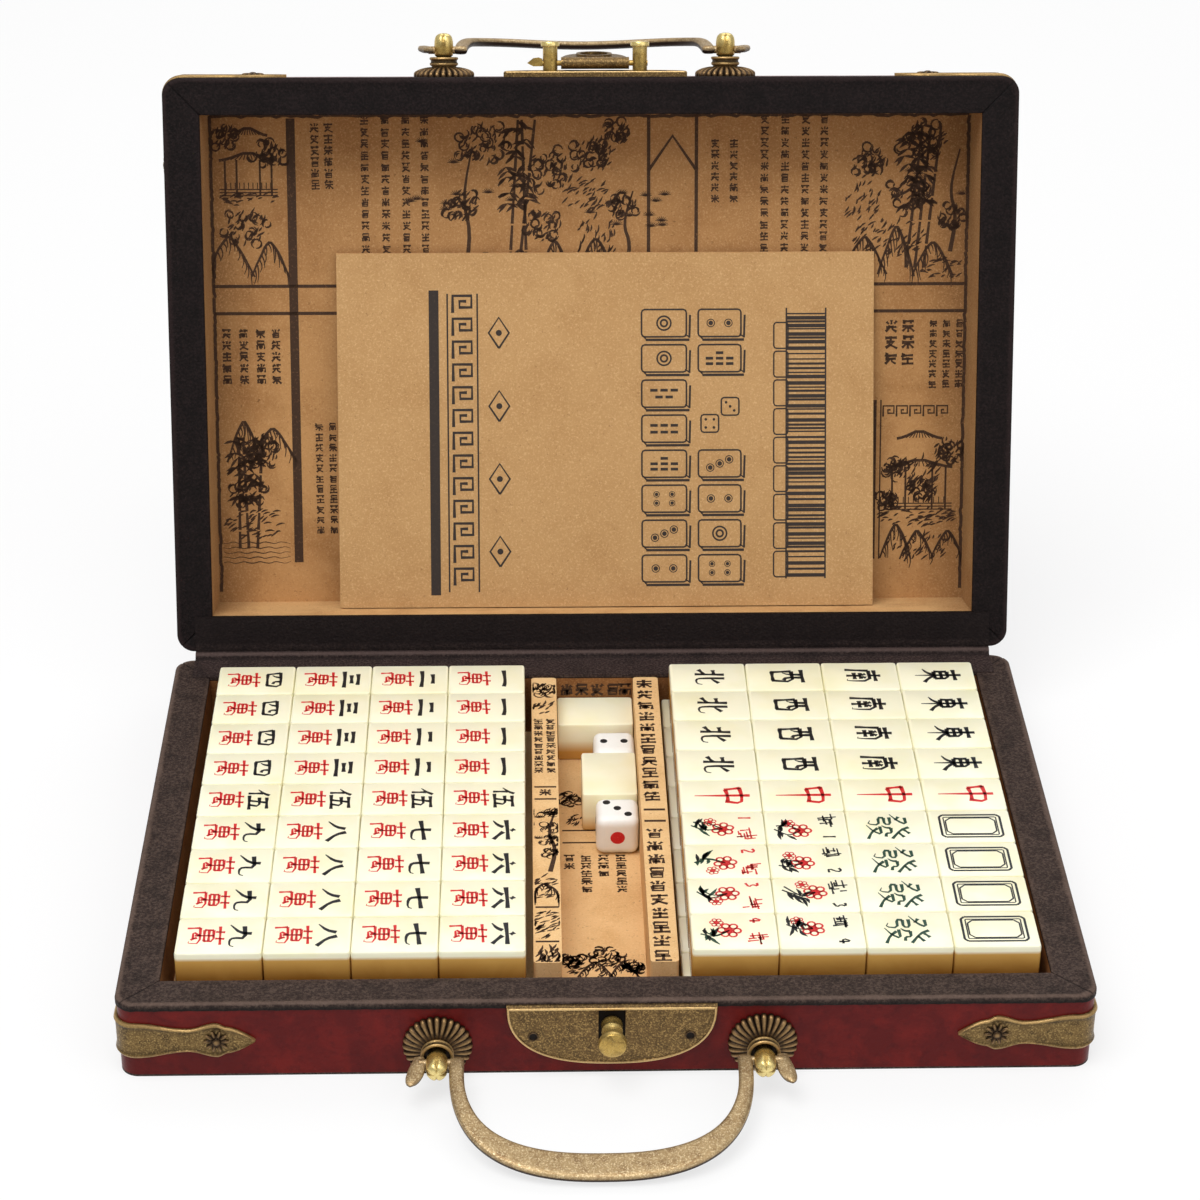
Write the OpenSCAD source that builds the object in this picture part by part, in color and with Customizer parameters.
// Mahjong case: a leather-covered box with two layers of tiles, dice and a rule booklet.
// Millimetres. +X is to the right, +Y to the hinge side, +Z up.
// The origin is the centre of the tray's underside, and the lid stands open.

/* [Tiles] */
// Length of a tile
tile_l = 21.9; // [18:0.1:28]
// Width of a tile
tile_w = 15.4; // [12:0.1:20]
// Thickness of a tile
tile_t = 12; // [9:0.5:13]
// Gap between neighbouring tiles
tile_gap = 0.1; // [0.05:0.05:0.5]
// Radius of the upright edges of a tile
tile_r = 1.2; // [0.4:0.1:2.5]
// Tiles side by side in each block
tile_cols = 4; // [2:1:5]
// Rows of tiles from the hinge side to the front
tile_rows = 9; // [6:1:11]
// Room between the left wall and its block
wall_gap_left = 3.4; // [0.5:0.1:8]
// Room between the right wall and its block
wall_gap_right = 2.1; // [0.5:0.1:8]
// Room in front of the blocks
front_gap = 4; // [0.5:0.1:10]
// Room behind the blocks
rear_gap = 1.6; // [0.8:0.1:8]
// How far the lower right layer has slid to the left
layer_slip = 2; // [0:0.1:2.5]

/* [Dividers and well] */
// Thickness of a divider
divider_t = 7.2; // [4:0.1:12]
// How far the dividers stop below the rim
divider_drop = 0.5; // [0.2:0.1:6]
// Room between the left block and its divider
divider_gap_left = 1.9; // [0.5:0.1:6]
// Room between the right block and its divider
divider_gap_right = 3.1; // [2.6:0.1:6]
// Gap between the dividers and the front wall
divider_front_gap = 6.5; // [0.3:0.1:20]
// Radius of the upright edges of a divider
divider_r = 1; // [0.3:0.1:2]
// Room beside a tile that lies across the well
well_fit = 0.2; // [0.1:0.05:2]
// Edge of a die
die = 11.8; // [8:0.1:14]
// Sphere that rounds a die's corners, against the die's edge
die_round = 1.44; // [1.3:0.01:1.6]
// Gap between the hinge-side wall and the first loose tile
item_rear_gap = 0.2; // [0.1:0.1:2]
// Gap between the first loose tile and the first die
item_gap_1 = 2.6; // [0.1:0.1:5]
// Gap between the first die and the second loose tile
item_gap_2 = 0.2; // [0.1:0.1:4]
// Gap between the second loose tile and the second die
item_gap_3 = 0.6; // [0.1:0.1:4]

/* [Case] */
// Height of the tray
tray_h = 22; // [20:0.5:32]
// Height of the lid
lid_h = 25; // [23:0.5:40]
// Radius of the upright corners
corner_r = 5; // [3:0.5:8]
// Thickness of the wall boards
board_t = 9; // [8:0.5:14]
// Thickness of the tray's bottom board
tray_panel_t = 2; // [1.5:0.1:4]
// Thickness of the lid's top board
lid_panel_t = 1.8; // [1.5:0.1:4]
// Thickness of the sheet under the tray
base_sheet_t = 0.6; // [0.4:0.1:1.5]
// Thickness of the leather on the lid's top
top_sheet_t = 0.8; // [0.5:0.1:1.5]
// Thickness of the leather round the sides
cover_t = 0.8; // [0.5:0.1:1.2]
// Thickness of the leather on the rims
trim_t = 0.8; // [0.5:0.1:1.2]
// How far the rim leather comes down the outside
trim_wrap = 1.7; // [1.4:0.1:3]
// How far the rim leather stands proud of the side leather
trim_proud = 0.3; // [0.1:0.1:0.6]
// Gap in the mitres of the rim leather
mitre_gap = 0.06; // [0.02:0.02:0.3]
// Thickness of the paper lining
lining_t = 0.4; // [0.2:0.1:0.6]

/* [Hinge] */
// Gap between the two rims when the lid is closed
rim_gap = 1; // [0.6:0.1:2]
// Radius of the leather bead that the lid turns on
bead_r = 1; // [0.6:0.1:1.4]
// Gap between the bead and the lid's rim
bead_clear = 0.3; // [0.2:0.05:1]
// Angle at which the lid stands open
open_angle = 108.8; // [60:0.1:120]
// Thickness of the outer hinge leather
flap_t = 0.6; // [0.4:0.1:0.8]
// Height of each half of the outer hinge leather
flap_h = 15; // [8:0.5:16]
// Gap from the rim to the outer hinge leather
flap_gap = 2; // [1.7:0.1:4]
// Shortfall of the hinge leathers at each end
flap_inset = 6; // [5:0.5:30]

/* [Booklet] */
// Width of the booklet along the spine
book_w = 158; // [100:1:190]
// Height of the booklet
book_h = 104.5; // [70:0.5:130]
// Thickness of all the pages
page_stack_t = 1.2; // [0.6:0.1:4]
// Thickness of the cover paper
book_cover_t = 0.3; // [0.2:0.05:0.5]
// Distance of the booklet's middle from the case's middle
book_shift = 4.3; // [-20:0.1:20]
// Height kept free between the tiles and the booklet's foot
book_clear = 6; // [1:0.5:8]
// Gap under the booklet's foot
book_foot_gap = 0.3; // [0.1:0.1:1]
// Gap between the booklet's spine and the lid's lining
book_back_gap = 0.3; // [0.1:0.1:1]

/* [Corner straps] */
// Thickness of the brass straps
strap_t = 0.8; // [0.5:0.1:1.2]
// Length of a strap from the corner to its tip
strap_l = 34.6; // [28:0.1:40]
// Depth of the straps' middle below the rim
strap_depth = 10.7; // [8:0.1:12]
// Half height of a strap at the corner
strap_root = 5.2; // [3.5:0.1:6]
// Half height of a strap at its neck
strap_neck = 3.4; // [2:0.1:5]
// Half height of a strap at its lobe
strap_lobe = 5.1; // [4:0.1:6]
// Half height of a strap where its tip begins
strap_tip = 3.9; // [2:0.1:4.5]
// Distance of the neck from the corner
strap_neck_at = 18; // [10:0.1:20]
// Distance of the rivet and the lobe from the corner
strap_rivet_at = 25; // [22:0.1:26]
// Radius of a rivet's star head
star_r = 3.2; // [2:0.1:3.6]
// Rays of a star head
star_rays = 10; // [6:1:14]
// Thickness of a star head
star_t = 0.6; // [0.3:0.1:1.5]
// Radius of a rivet's shank
rivet_r = 0.9; // [0.5:0.05:1.2]
// Depth of a rivet in the board
rivet_in = 5; // [3:0.5:6]

/* [Handles] */
// Distance between the two posts of a handle
handle_spacing = 81; // [74:0.5:110]
// Distance of the handles' middle from the case's middle
handle_shift = -1.8; // [-10:0.1:10]
// Radius of a rosette
rosette_r = 8.7; // [7:0.1:9.2]
// Height of a rosette
rosette_h = 2.6; // [1.5:0.1:3]
// Petals of a rosette
petals = 24; // [12:1:30]
// Radius of the notch between two petals
petal_notch = 0.7; // [0.3:0.05:0.9]
// Height of the tray's rosettes above the table
rosette_lift = 0.5; // [0.2:0.1:3]
// Radius of the cup round a post
cup_r = 4.1; // [3.7:0.1:5]
// Height of the cup
cup_h = 2.8; // [1.5:0.1:2.9]
// Thickness of the cup's wall
cup_wall = 0.8; // [0.4:0.1:0.9]
// Radius of a post
post_r = 2.6; // [2.2:0.1:2.7]
// Length of a post from the case's front
post_l = 12.2; // [11.5:0.1:15]
// Radius of the ball that rounds a post's end
post_ball = 3.2; // [3:0.1:4]
// Radius of a post's shank in the board
shank_r = 1.5; // [1:0.1:2]
// Depth of a post's shank in the board
shank_in = 7; // [4:0.5:7.5]
// Distance of the handle's pivot from the case's front
pivot_out = 7.4; // [7.2:0.1:8]
// Radius of the handle's round neck in the post
neck_r = 1.1; // [0.8:0.05:1.3]
// Distance from the pivot to the far edge of the handle
handle_reach = 37; // [30:0.5:50]
// Width of the handle's middle
grip_w = 7.8; // [5:0.1:12]
// Width of the handle's arms
arm_w = 3.7; // [2.5:0.1:5]
// Thickness of the handle
handle_t = 2.6; // [1.8:0.1:2.8]
// Squareness of the handle's outer curve
curve_out = 2.73; // [2:0.01:4]
// Squareness of the handle's inner curve
curve_in = 2.92; // [2:0.01:4]
// Length of the curled tips
tip_l = 7.5; // [5:0.1:9]
// Width of the curled tips
tip_w = 3.9; // [2.5:0.1:5]
// Thickness of the curled tips
tip_t = 1.8; // [1:0.1:2.4]
// Gap between the handle and the table
table_gap = 0.05; // [0.02:0.01:1]

/* [Latch] */
// Distance of the latch from the case's middle
latch_shift = 1; // [-10:0.1:10]
// Width of each latch plate
plate_w = 52.2; // [46:0.1:58]
// Height of each latch plate
plate_h = 17.4; // [15.5:0.1:18]
// Thickness of each latch plate
plate_t = 1.3; // [0.8:0.1:1.8]
// Gap between the rim and a latch plate
plate_edge = 0.7; // [0.3:0.1:0.9]
// Squareness of the latch plates' curve
plate_curve = 2.5; // [2:0.1:3.5]
// Distance of the plate screws from the latch's middle
screw_at = 19.5; // [16:0.1:20]
// Depth of the plate screws below the rim
screw_depth = 9.5; // [6:0.1:11]
// Radius of a screw head
screw_head_r = 1.6; // [1.2:0.1:2]
// Height of a screw head
screw_head_h = 0.6; // [0.3:0.1:1]
// Radius of a screw's shank
screw_r = 0.8; // [0.5:0.05:1]
// Depth of a screw in the board
screw_in = 5; // [3:0.5:6]
// Depth of the tray's latch peg below the rim
peg_depth = 6.6; // [6.2:0.1:8]
// Radius of the peg
peg_r = 2.2; // [1.5:0.1:2.6]
// Radius of the peg's head
peg_head_r = 3.6; // [3:0.1:4]
// Distance of the peg head's underside from the case's front
peg_head_at = 7.3; // [6.5:0.1:8]
// Distance of the peg's end from the case's front
peg_l = 9.9; // [9:0.1:11]
// Depth of the latch peg and posts in the board
peg_in = 6; // [3:0.5:7]
// Width of the slot behind the peg
peg_slot_w = 6.7; // [5.6:0.1:8]
// Height of the slot behind the peg
peg_slot_h = 10; // [6:0.1:10.2]
// Radius of the lid's two latch posts
lid_post_r = 2.1; // [1.7:0.1:2.4]
// Radius of the lid posts' heads
lid_head_r = 2.65; // [2.2:0.05:3]
// Thickness of the lid posts' heads
lid_head_t = 1.4; // [0.8:0.1:2.5]
// Length of the lid posts from the case's front
lid_post_l = 9.9; // [8:0.1:11]
// Distance of the hasp's pin from the lid's rim
pin_depth = 5.5; // [5.3:0.1:7]
// Distance of the hasp's pin from the case's front
pin_out = 3.8; // [3.6:0.1:4.2]
// Radius of the hasp's pin
pin_r = 0.8; // [0.5:0.05:0.9]
// Length of the leaf at the pin's end
leaf_l = 4.4; // [3:0.1:6]
// Height of the leaf at the pin's end
leaf_h = 2.4; // [1.8:0.1:3]
// Thickness of the leaf at the pin's end
leaf_t = 1.6; // [1:0.1:2]
// Radius of the hasp's barrel
barrel_r = 1.7; // [1.3:0.05:1.9]
// Width of the hasp
hasp_w = 19.4; // [15:0.1:22]
// Thickness of the hasp
hasp_t = 1.3; // [0.8:0.1:1.5]
// Squareness of the hasp's curve
hasp_curve = 3; // [2.2:0.1:4]
// Border of the hasp beyond its slot
hasp_border = 2; // [1.2:0.1:4]
// Height of the raised rim round the hasp's slot
hasp_lip = 0.7; // [0.3:0.1:0.9]
// Width of the raised rim round the hasp's slot
hasp_lip_w = 1.2; // [0.6:0.1:1.8]
// Angle of the open hasp from the lid's front
hasp_tilt = 5; // [2:0.5:20]

/* [Fits] */
// Radial clearance of a pin or shank in its hole
fit = 0.05; // [0.02:0.01:0.1]
// Gap beside a moving piece
side_gap = 0.4; // [0.2:0.05:1]
// Gap beside the hasp, between the lid's posts
hasp_side_gap = 1; // [0.3:0.1:2]
// Gap between the peg's head and the near end of the hasp's slot
slot_near_gap = 0.5; // [0.4:0.1:1]
// Gap between the peg's head and the far end of the hasp's slot
slot_far_gap = 1.6; // [0.9:0.1:3]
// Gap between the peg's head and the sides of the hasp's slot
slot_side_gap = 0.35; // [0.25:0.05:1]
// Gap left between the end of a shank and the bottom of its hole
hole_spare = 0.3; // [0.1:0.1:1]

/* [Hidden] */
$fn = 48;

// Colours
dark_leather = [0.2, 0.16, 0.15];
red_leather = [0.4, 0.1, 0.1];
board_wood = [0.7, 0.55, 0.4];
kraft = [0.82, 0.66, 0.47];
antique_brass = [0.55, 0.46, 0.3];
bright_brass = [0.75, 0.62, 0.3];
cream = [0.98, 0.95, 0.82];

// The blocks of tiles, the well and the case round them
block_l = tile_cols * (tile_l + tile_gap) - tile_gap;
block_d = tile_rows * (tile_w + tile_gap) - tile_gap;
well_w = tile_l + 2 * well_fit;
inner_w = wall_gap_left + block_l + divider_gap_left + divider_t + well_w
  + divider_t + divider_gap_right + block_l + wall_gap_right;
inner_d = front_gap + block_d + rear_gap;
skin = trim_proud + cover_t;
rim_w = skin + board_t + lining_t;
case_w = inner_w + 2 * rim_w;
case_d = inner_d + 2 * rim_w;
floor_z = base_sheet_t + tray_panel_t + lining_t;
divider_h = tray_h - floor_z - divider_drop;

left_block_x = -inner_w / 2 + wall_gap_left;
left_divider_x = left_block_x + block_l + divider_gap_left;
well_x = left_divider_x + divider_t;
right_divider_x = well_x + well_w;
right_block_x = right_divider_x + divider_t + divider_gap_right;
block_y = -inner_d / 2 + front_gap;

// The hinge, behind the rims and halfway between them
hinge_y = case_d / 2 + bead_r + bead_clear;
hinge_z = tray_h + rim_gap / 2;

// The booklet leans on the lid's lining
lid_rim_z = tray_h + rim_gap;
stack_z = floor_z + 2 * tile_t;
lid_inner_depth = lid_h - top_sheet_t - lid_panel_t - lining_t;
book_t = page_stack_t + 2 * book_cover_t;
book_foot_depth = max(stack_z - lid_rim_z, 0) + book_clear;
book_lean = asin((lid_inner_depth - book_back_gap - book_t - book_foot_depth) / book_h);

// The handles
stud_z = rosette_r + rosette_lift;
stud_depth = tray_h - stud_z;
arm_out = handle_spacing / 2 - post_r - side_gap;
arm_in = arm_out - arm_w;
tip_from = handle_spacing / 2 + post_r + side_gap;
corner_reach = sqrt(pow(handle_reach, 2) + pow(handle_t / 2, 2));
rest_droop = asin((stud_z - table_gap) / corner_reach) - atan(handle_t / 2 / handle_reach);

// The latch
lid_post_x = hasp_w / 2 + hasp_side_gap + lid_post_r;
peg_from_pin = pin_depth + rim_gap + peg_depth;
slot_near = peg_from_pin - peg_head_r - slot_near_gap;
slot_far = peg_from_pin + peg_head_r + slot_far_gap;
slot_half = peg_head_r + slot_side_gap;
hasp_l = slot_far + hasp_border;

curve_steps = 20;

// A point on a curve between an ellipse and a rectangle, at an angle
function curve_point(a, b, n, t) = [
  a * sign(cos(t)) * pow(abs(cos(t)), 2 / n),
  b * sign(sin(t)) * pow(abs(sin(t)), 2 / n)
];

// The lower half of that curve, from left to right
function half_curve(a, b, n) = [
  for (i = [0 : curve_steps]) curve_point(a, b, n, 180 + 180 * i / curve_steps)
];

// A smooth change from a to b as u goes from 0 to 1
function ease(a, b, u) = a + (b - a) * (1 - cos(180 * min(max(u, 0), 1))) / 2;

// Half height of a corner strap at distance s from the corner
strap_tip_from = strap_rivet_at + 2.8;
function strap_half(s) =
  s < corner_r ? strap_root :
  s < strap_neck_at ? ease(strap_root, strap_neck, (s - corner_r) / (strap_neck_at - corner_r)) :
  s < strap_rivet_at ? ease(strap_neck, strap_lobe, (s - strap_neck_at) / (strap_rivet_at - strap_neck_at)) :
  s < strap_tip_from ? ease(strap_lobe, strap_tip, (s - strap_rivet_at) / (strap_tip_from - strap_rivet_at)) :
  strap_tip * (1 - pow((s - strap_tip_from) / (strap_l - strap_tip_from), 1.5));

module round_rect(w, d, r) {
  square([w - 2 * r, d], center = true);
  square([w, d - 2 * r], center = true);
  for (x = [-1, 1], y = [-1, 1])
    translate([x * (w / 2 - r), y * (d / 2 - r)]) circle(r);
}

// The case's plan, drawn in from the rim leather's outer edge
module plan(inset) {
  round_rect(case_w - 2 * inset, case_d - 2 * inset, corner_r - inset);
}

module inner_plan(outset) {
  square([inner_w + 2 * outset, inner_d + 2 * outset], center = true);
}

module slab(z0, z1) {
  translate([0, 0, z0]) linear_extrude(z1 - z0) children();
}

// Each half of the case is drawn with its rim at z = 0 and its body below.
// The tray is set up as drawn. The lid is mirrored, set on the tray and turned open about the hinge.
module on_tray() {
  translate([0, 0, tray_h]) children();
}

module on_lid() {
  translate([0, hinge_y, hinge_z])
    rotate([-open_angle, 0, 0])
      translate([0, -hinge_y, lid_rim_z - hinge_z])
        mirror([0, 0, 1]) children();
}

// What stands on the front: local Y is up, local Z is out from the rim leather's plane
module on_front(x, z) {
  translate([x, -case_d / 2, z]) rotate([90, 0, 0]) children();
}

module on_side(side, y, z) {
  translate([side * case_w / 2, y, z]) rotate([0, side * 90, 0]) children();
}

module at_posts() {
  for (side = [-1, 1])
    on_front(handle_shift + side * handle_spacing / 2, -stud_depth) children();
}

module at_screws() {
  for (side = [-1, 1])
    on_front(latch_shift + side * screw_at, -screw_depth) children();
}

module at_rivets() {
  for (side = [-1, 1]) {
    on_front(side * (case_w / 2 - strap_rivet_at), -strap_depth) children();
    on_side(side, -case_d / 2 + strap_rivet_at, -strap_depth) children();
  }
}

module at_lid_posts() {
  for (side = [-1, 1])
    on_front(latch_shift + side * lid_post_x, -pin_depth) children();
}

// A hole from in front of the case to a depth in the board
module hole(r, depth) {
  translate([0, 0, -skin - depth]) cylinder(r = r + fit, h = skin + depth + 5);
}

// A shank from the hole's bottom to a distance from the case's front
module shank(r, depth, out) {
  translate([0, 0, -skin - depth + hole_spare]) cylinder(r = r, h = skin + depth - hole_spare + out);
}

module fastener_holes() {
  at_posts() hole(shank_r, shank_in);
  at_screws() hole(screw_r, screw_in);
  at_rivets() hole(rivet_r, rivet_in);
}

module peg_hole() {
  on_front(latch_shift, -peg_depth) hole(peg_r, peg_in);
}

module lid_post_holes() {
  at_lid_posts() hole(lid_post_r, peg_in);
}

// Boards, leather and paper of one half, from its rim down to its outer sheet
module front_board(height, sheet_t) {
  slab(-(height - sheet_t), -trim_t) intersection() {
    plan(skin);
    translate([-case_w / 2, -case_d / 2]) square([case_w, skin + board_t]);
  }
}

module back_board(height, sheet_t) {
  mirror([0, 1, 0]) front_board(height, sheet_t);
}

module side_board(side, height, sheet_t) {
  slab(-(height - sheet_t), -trim_t)
    translate([side * (case_w / 2 - skin - board_t / 2), 0])
      square([board_t, inner_d + 2 * lining_t], center = true);
}

module panel(height, sheet_t, panel_t) {
  slab(-(height - sheet_t), -(height - sheet_t - panel_t)) inner_plan(lining_t);
}

module outer_sheet(height, sheet_t) {
  slab(-height, -(height - sheet_t)) plan(trim_proud);
}

module side_cover(height, sheet_t) {
  slab(-(height - sheet_t), -trim_wrap) difference() {
    plan(trim_proud);
    plan(skin);
  }
}

module panel_lining(height, sheet_t, panel_t) {
  slab(-(height - sheet_t - panel_t), -(height - sheet_t - panel_t - lining_t)) inner_plan(lining_t);
}

module wall_lining(height, sheet_t, panel_t) {
  slab(-(height - sheet_t - panel_t - lining_t), -trim_t) difference() {
    inner_plan(lining_t);
    inner_plan(0);
  }
}

// The rim leather: flat on the boards, with a short wrap down the outside
module rim_leather() {
  slab(-trim_t, 0) difference() {
    plan(0);
    inner_plan(0);
  }
  slab(-trim_wrap, -trim_t) difference() {
    plan(0);
    plan(skin);
  }
}

module trim_front() {
  x = inner_w / 2 - mitre_gap;
  y = inner_d / 2;
  intersection() {
    rim_leather();
    slab(-tray_h, 1)
      polygon([[-x, -y], [-x - 2 * rim_w, -y - 2 * rim_w], [x + 2 * rim_w, -y - 2 * rim_w], [x, -y]]);
  }
}

module trim_side(side) {
  x = side * inner_w / 2;
  y = inner_d / 2 - mitre_gap;
  intersection() {
    rim_leather();
    slab(-tray_h, 1)
      polygon([[x, -y], [x + side * 2 * rim_w, -y - 2 * rim_w], [x + side * 2 * rim_w, y], [x, y]]);
  }
}

module trim_back() {
  intersection() {
    rim_leather();
    slab(-tray_h, 1) translate([-case_w, inner_d / 2]) square([2 * case_w, 2 * rim_w]);
  }
}

// The leather tongue and bead behind the tray's rim, on the hinge's axis
module bead() {
  length = case_w - 2 * flap_inset;
  y = case_d / 2;
  translate([-length / 2, hinge_y, rim_gap / 2]) rotate([0, 90, 0]) cylinder(r = bead_r, h = length);
  translate([-length / 2, 0, 0]) rotate([90, 0, 90]) linear_extrude(length)
    polygon([[y - 0.01, -trim_t], [y + 0.4 * bead_r, -trim_t], [hinge_y, rim_gap / 2 - 0.7 * bead_r],
      [hinge_y - 0.7 * bead_r, rim_gap / 2], [y - 0.01, 0]]);
}

module hinge_flap() {
  length = case_w - 2 * flap_inset;
  translate([-length / 2, case_d / 2 - trim_proud, -flap_gap - flap_h]) cube([length, flap_t, flap_h]);
}

module strap_outline() {
  count = 26;
  stations = [for (i = [0 : count]) strap_l * i / count];
  polygon(concat(
    [for (s = stations) [s, strap_half(s)]],
    [for (i = [count - 1 : -1 : 0]) [stations[i], -strap_half(stations[i])]],
    [[-1, -strap_root], [-1, strap_root]]
  ));
}

module left_strap() {
  reach = corner_r - trim_proud;
  intersection() {
    slab(-tray_h, 0) difference() {
      plan(trim_proud - strap_t);
      plan(trim_proud);
    }
    union() {
      translate([-case_w / 2, -case_d / 2 + corner_r, -strap_depth]) rotate([90, 0, 0])
        linear_extrude(reach + 2) strap_outline();
      translate([-case_w / 2 + corner_r, -case_d / 2, -strap_depth]) rotate([90, 0, -90])
        linear_extrude(reach + 2) mirror([1, 0]) strap_outline();
    }
  }
}

module corner_straps() {
  difference() {
    union() {
      left_strap();
      mirror([1, 0, 0]) left_strap();
    }
    at_rivets() hole(rivet_r, rivet_in);
  }
}

module star() {
  polygon([for (i = [0 : 2 * star_rays - 1])
    (i % 2 == 0 ? star_r : 0.62 * star_r) * [cos(180 * i / star_rays), sin(180 * i / star_rays)]]);
}

module strap_rivets() {
  face = strap_t - trim_proud;
  at_rivets() {
    shank(rivet_r, rivet_in, face + star_t);
    translate([0, 0, face]) linear_extrude(star_t) star();
    translate([0, 0, face + star_t]) intersection() {
      translate([0, 0, -star_r / 2]) sphere(r = 0.7 * star_r);
      cylinder(r = star_r, h = star_r);
    }
  }
}

module rosettes() {
  rise = trim_proud + rosette_h;
  at_posts() difference() {
    translate([0, 0, -trim_proud]) rotate_extrude() polygon([
      [shank_r + fit, 0], [rosette_r, 0], [rosette_r, 0.32 * rise], [0.87 * rosette_r, 0.52 * rise],
      [0.62 * rosette_r, 0.76 * rise], [cup_r, rise], [shank_r + fit, rise]
    ]);
    for (i = [1 : petals]) rotate([0, 0, 360 * i / petals])
      translate([rosette_r + 0.3 * petal_notch, 0, -1]) cylinder(r = petal_notch, h = rosette_h + 2, $fn = 24);
  }
}

module post_cups() {
  at_posts() translate([0, 0, rosette_h]) difference() {
    cylinder(r = cup_r, h = cup_h);
    translate([0, 0, cup_wall]) cylinder(r = cup_r - cup_wall, h = cup_h);
    translate([0, 0, -1]) cylinder(r = shank_r + fit, h = cup_wall + 2);
  }
}

module handle_posts() {
  base = rosette_h + cup_wall;
  at_posts() difference() {
    union() {
      shank(shank_r, shank_in, base + 0.5);
      intersection() {
        translate([0, 0, base]) cylinder(r = post_r, h = post_l);
        union() {
          cylinder(r = 2 * post_r, h = post_l - post_ball);
          translate([0, 0, post_l - post_ball]) sphere(r = post_ball);
        }
      }
    }
    translate([-2 * post_r, 0, pivot_out]) rotate([0, 90, 0]) cylinder(r = neck_r + fit, h = 4 * post_r);
  }
}

// A handle with its pivot at the origin and its loop towards -Y
module handle() {
  translate([0, 0, -handle_t / 2]) linear_extrude(handle_t) polygon(concat(
    half_curve(arm_out, handle_reach, curve_out),
    [for (i = [curve_steps : -1 : 0]) half_curve(arm_in, handle_reach - grip_w, curve_in)[i]]
  ));
  for (side = [-1, 1]) {
    translate([side * (arm_in + arm_w / 2) - arm_w / 2, 0, 0])
      rotate([0, 90, 0]) cylinder(r = handle_t / 2, h = arm_w);
    mirror([side < 0 ? 1 : 0, 0, 0]) {
      translate([arm_in + arm_w / 2, 0, 0]) rotate([0, 90, 0])
        cylinder(r = neck_r, h = tip_from + tip_w / 4 - arm_in - arm_w / 2);
      translate([tip_from, 0, -tip_t / 2]) linear_extrude(tip_t) polygon([
        [0, neck_r], [0.45 * tip_w, neck_r], [tip_w, -0.3 * tip_l], [1.06 * tip_w, -0.62 * tip_l],
        [0.86 * tip_w, -0.88 * tip_l], [0.55 * tip_w, -tip_l], [0.2 * tip_w, -0.88 * tip_l],
        [0.05 * tip_w, -0.6 * tip_l], [0, -0.3 * tip_l]
      ]);
    }
  }
}

module latch_plate() {
  on_front(latch_shift, -plate_edge) difference() {
    linear_extrude(plate_t) polygon(half_curve(plate_w / 2, plate_h, plate_curve));
    for (side = [-1, 1]) translate([side * screw_at, plate_edge - screw_depth, -1])
      cylinder(r = screw_r + fit, h = plate_t + 2);
  }
}

module latch_screws() {
  at_screws() {
    shank(screw_r, screw_in, plate_t + 0.1);
    translate([0, 0, plate_t]) cylinder(r1 = screw_head_r, r2 = 0.7 * screw_head_r, h = screw_head_h);
  }
}

module tile() {
  linear_extrude(tile_t) translate([tile_l / 2, tile_w / 2]) round_rect(tile_l, tile_w, tile_r);
}

module tile_layer(x, layer) {
  for (col = [0 : tile_cols - 1], row = [0 : tile_rows - 1])
    translate([x + col * (tile_l + tile_gap), block_y + row * (tile_w + tile_gap), floor_z + layer * tile_t])
      tile();
}

module divider(x) {
  length = inner_d - divider_front_gap - 0.1;
  translate([x + divider_t / 2, inner_d / 2 - 0.1 - length / 2, floor_z])
    linear_extrude(divider_h) round_rect(divider_t, length, divider_r);
}

// Loose pieces in the well, from the hinge side to the front, against the right divider
spare_1_y = inner_d / 2 - item_rear_gap - tile_w;
die_1_y = spare_1_y - item_gap_1 - die;
spare_2_y = die_1_y - item_gap_2 - tile_l;
die_2_y = spare_2_y - item_gap_3 - die;
well_right = well_x + well_w - well_fit;

module one_die(y) {
  translate([well_right - die / 2, y + die / 2, floor_z + die / 2]) intersection() {
    cube(die, center = true);
    sphere(d = die * die_round);
  }
}

// The booklet, with its foot at the origin and its front towards +Z
module on_booklet() {
  on_lid() translate([book_shift - book_w / 2, inner_d / 2 - book_foot_gap, -book_foot_depth])
    rotate([180 + book_lean, 0, 0]) children();
}

// The tray's pieces
module tray_front_board() color(board_wood) on_tray() difference() {
  front_board(tray_h, base_sheet_t);
  fastener_holes();
  peg_hole();
}
module tray_back_board() color(board_wood) on_tray() back_board(tray_h, base_sheet_t);
module tray_left_board() color(board_wood) on_tray() difference() {
  side_board(-1, tray_h, base_sheet_t);
  fastener_holes();
}
module tray_right_board() color(board_wood) on_tray() difference() {
  side_board(1, tray_h, base_sheet_t);
  fastener_holes();
}
module tray_bottom_panel() color(board_wood) on_tray() panel(tray_h, base_sheet_t, tray_panel_t);
module tray_base_sheet() color(dark_leather) on_tray() outer_sheet(tray_h, base_sheet_t);
module tray_cover() color(red_leather) on_tray() difference() {
  side_cover(tray_h, base_sheet_t);
  fastener_holes();
  peg_hole();
}
module tray_trim_front() color(dark_leather) on_tray() trim_front();
module tray_trim_left() color(dark_leather) on_tray() trim_side(-1);
module tray_trim_right() color(dark_leather) on_tray() trim_side(1);
module hinge_bead_strip() color(dark_leather) on_tray() {
  trim_back();
  bead();
}
module tray_hinge_flap() color(dark_leather) on_tray() hinge_flap();
module tray_floor_lining() color(kraft) on_tray() panel_lining(tray_h, base_sheet_t, tray_panel_t);
module tray_wall_lining() color(kraft) on_tray() wall_lining(tray_h, base_sheet_t, tray_panel_t);
module divider_left() color(kraft) divider(left_divider_x);
module divider_right() color(kraft) divider(right_divider_x);
module tiles_left_top() color(cream) tile_layer(left_block_x, 1);
module tiles_left_bottom() color(cream) tile_layer(left_block_x, 0);
module tiles_right_top() color(cream) tile_layer(right_block_x, 1);
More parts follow.
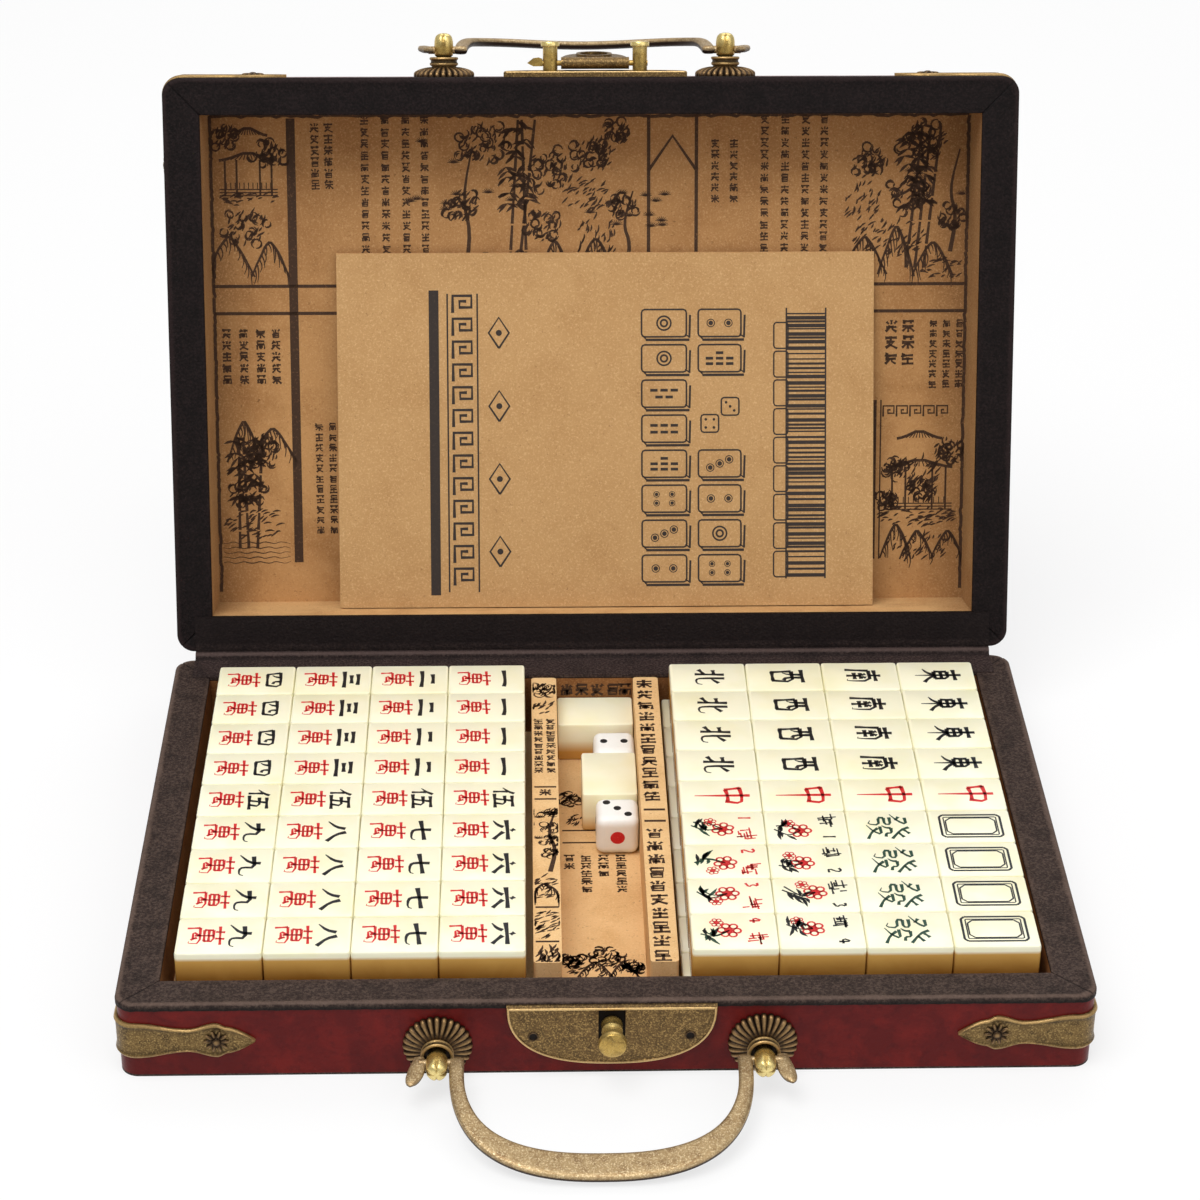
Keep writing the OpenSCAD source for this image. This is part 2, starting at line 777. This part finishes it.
module tiles_right_bottom() color(cream) tile_layer(right_block_x - layer_slip, 0);
module spare_tiles() color(cream) {
  translate([well_x + well_fit, spare_1_y, floor_z]) tile();
  translate([well_right, spare_2_y, floor_z]) rotate([0, 0, 90]) tile();
}
module dice() color("white") {
  one_die(die_1_y);
  one_die(die_2_y);
}
module tray_corner_straps() color(antique_brass) on_tray() corner_straps();
module tray_strap_rivets() color(antique_brass) on_tray() strap_rivets();
module tray_rosettes() color(antique_brass) on_tray() rosettes();
module tray_post_cups() color(bright_brass) on_tray() post_cups();
module tray_handle_posts() color(bright_brass) on_tray() handle_posts();
module tray_handle() color(antique_brass)
  translate([handle_shift, -case_d / 2 - pivot_out, stud_z]) rotate([rest_droop, 0, 0]) handle();
module tray_latch_plate() color(antique_brass) on_tray() difference() {
  latch_plate();
  on_front(latch_shift, -peg_depth) translate([0, 0, plate_t / 2])
    cube([peg_slot_w, peg_slot_h, 2 * plate_t], center = true);
}
module tray_latch_peg() color(bright_brass) on_tray() on_front(latch_shift, -peg_depth) {
  shank(peg_r, peg_in, peg_head_at);
  rotate_extrude() polygon([[0, peg_head_at], [0.7 * peg_head_r, peg_head_at], [peg_head_r, peg_head_at + 0.6],
    [peg_head_r, peg_l - 0.8], [0.8 * peg_head_r, peg_l], [0, peg_l]]);
}
module tray_latch_screws() color(antique_brass) on_tray() latch_screws();

// The lid's pieces
module lid_front_board() color(board_wood) on_lid() difference() {
  front_board(lid_h, top_sheet_t);
  fastener_holes();
  lid_post_holes();
}
module lid_back_board() color(board_wood) on_lid() back_board(lid_h, top_sheet_t);
module lid_left_board() color(board_wood) on_lid() difference() {
  side_board(-1, lid_h, top_sheet_t);
  fastener_holes();
}
module lid_right_board() color(board_wood) on_lid() difference() {
  side_board(1, lid_h, top_sheet_t);
  fastener_holes();
}
module lid_top_panel() color(board_wood) on_lid() panel(lid_h, top_sheet_t, lid_panel_t);
module lid_top_sheet() color(red_leather) on_lid() outer_sheet(lid_h, top_sheet_t);
module lid_cover() color(red_leather) on_lid() difference() {
  side_cover(lid_h, top_sheet_t);
  fastener_holes();
  lid_post_holes();
}
module lid_trim_front() color(dark_leather) on_lid() trim_front();
module lid_trim_left() color(dark_leather) on_lid() trim_side(-1);
module lid_trim_right() color(dark_leather) on_lid() trim_side(1);
module lid_hinge_strip() color(dark_leather) on_lid() trim_back();
module lid_hinge_flap() color(dark_leather) on_lid() hinge_flap();
module lid_panel_lining() color(kraft) on_lid() panel_lining(lid_h, top_sheet_t, lid_panel_t);
module lid_wall_lining() color(kraft) on_lid() wall_lining(lid_h, top_sheet_t, lid_panel_t);
module booklet_cover() color(kraft) on_booklet() difference() {
  cube([book_w, book_h, book_t]);
  translate([-1, -1, book_cover_t]) cube([book_w + 2, book_h + 1 - book_cover_t, page_stack_t]);
}
module booklet_pages() color(cream) on_booklet()
  translate([0.5, 0.4, book_cover_t]) cube([book_w - 1, book_h - 0.4 - book_cover_t, page_stack_t]);
module lid_corner_straps() color(antique_brass) on_lid() corner_straps();
module lid_strap_rivets() color(antique_brass) on_lid() strap_rivets();
module lid_rosettes() color(antique_brass) on_lid() rosettes();
module lid_post_cups() color(bright_brass) on_lid() post_cups();
module lid_handle_posts() color(bright_brass) on_lid() handle_posts();
module lid_handle() color(antique_brass) on_lid() on_front(handle_shift, -stud_depth)
  translate([0, 0, pivot_out]) handle();
module lid_latch_plate() color(antique_brass) on_lid() difference() {
  latch_plate();
  lid_post_holes();
}
module lid_latch_posts() color(bright_brass) on_lid() at_lid_posts() difference() {
  union() {
    shank(lid_post_r, peg_in, lid_post_l - lid_head_t);
    translate([0, 0, lid_post_l - lid_head_t]) cylinder(r = lid_head_r, h = lid_head_t);
  }
  translate([-2 * lid_head_r, 0, pin_out]) rotate([0, 90, 0]) cylinder(r = pin_r + fit, h = 4 * lid_head_r);
}
module lid_latch_screws() color(antique_brass) on_lid() latch_screws();
module latch_pin() color(bright_brass) on_lid() on_front(latch_shift, -pin_depth)
  translate([0, 0, pin_out]) {
    from = lid_post_x + lid_post_r + 0.1;
    translate([-from - 0.5, 0, 0]) rotate([0, 90, 0]) cylinder(r = pin_r, h = 2 * from + 0.5);
    translate([-from, leaf_t / 2, 0]) rotate([90, 0, 0]) linear_extrude(leaf_t)
      polygon([[0, -0.9], [0, leaf_h - 1.2], [-0.25 * leaf_l, leaf_h - 0.8], [-0.6 * leaf_l, leaf_h - 1],
        [-leaf_l, 0], [-0.6 * leaf_l, -0.9]]);
  }
module latch_hasp() color(antique_brass) on_lid() on_front(latch_shift, -pin_depth)
  translate([0, 0, pin_out]) rotate([-hasp_tilt, 0, 0]) difference() {
    union() {
      translate([-hasp_w / 2, 0, 0]) rotate([0, 90, 0]) cylinder(r = barrel_r, h = hasp_w);
      translate([0, 0, -hasp_t / 2]) linear_extrude(hasp_t) polygon(half_curve(hasp_w / 2, hasp_l, hasp_curve));
      translate([0, 0, -hasp_t / 2]) linear_extrude(hasp_t + hasp_lip) slot(hasp_lip_w);
    }
    translate([0, 0, -hasp_t]) linear_extrude(2 * hasp_t + hasp_lip) slot(0);
    translate([-hasp_w, 0, 0]) rotate([0, 90, 0]) cylinder(r = pin_r + 2 * fit, h = 2 * hasp_w);
  }

// The hasp's slot with round ends, or a border round it
module slot(border) {
  r = slot_half + border;
  for (y = [slot_near + slot_half, slot_far - slot_half]) translate([0, -y]) circle(r);
  translate([-r, -slot_far + slot_half]) square([2 * r, slot_far - slot_near - 2 * slot_half]);
}

tray_front_board();
tray_back_board();
tray_left_board();
tray_right_board();
tray_bottom_panel();
tray_base_sheet();
tray_cover();
tray_trim_front();
tray_trim_left();
tray_trim_right();
hinge_bead_strip();
tray_hinge_flap();
tray_floor_lining();
tray_wall_lining();
divider_left();
divider_right();
tiles_left_top();
tiles_left_bottom();
tiles_right_top();
tiles_right_bottom();
spare_tiles();
dice();
tray_corner_straps();
tray_strap_rivets();
tray_rosettes();
tray_post_cups();
tray_handle_posts();
tray_handle();
tray_latch_plate();
tray_latch_peg();
tray_latch_screws();
lid_front_board();
lid_back_board();
lid_left_board();
lid_right_board();
lid_top_panel();
lid_top_sheet();
lid_cover();
lid_trim_front();
lid_trim_left();
lid_trim_right();
lid_hinge_strip();
lid_hinge_flap();
lid_panel_lining();
lid_wall_lining();
booklet_cover();
booklet_pages();
lid_corner_straps();
lid_strap_rivets();
lid_rosettes();
lid_post_cups();
lid_handle_posts();
lid_handle();
lid_latch_plate();
lid_latch_posts();
lid_latch_screws();
latch_pin();
latch_hasp();
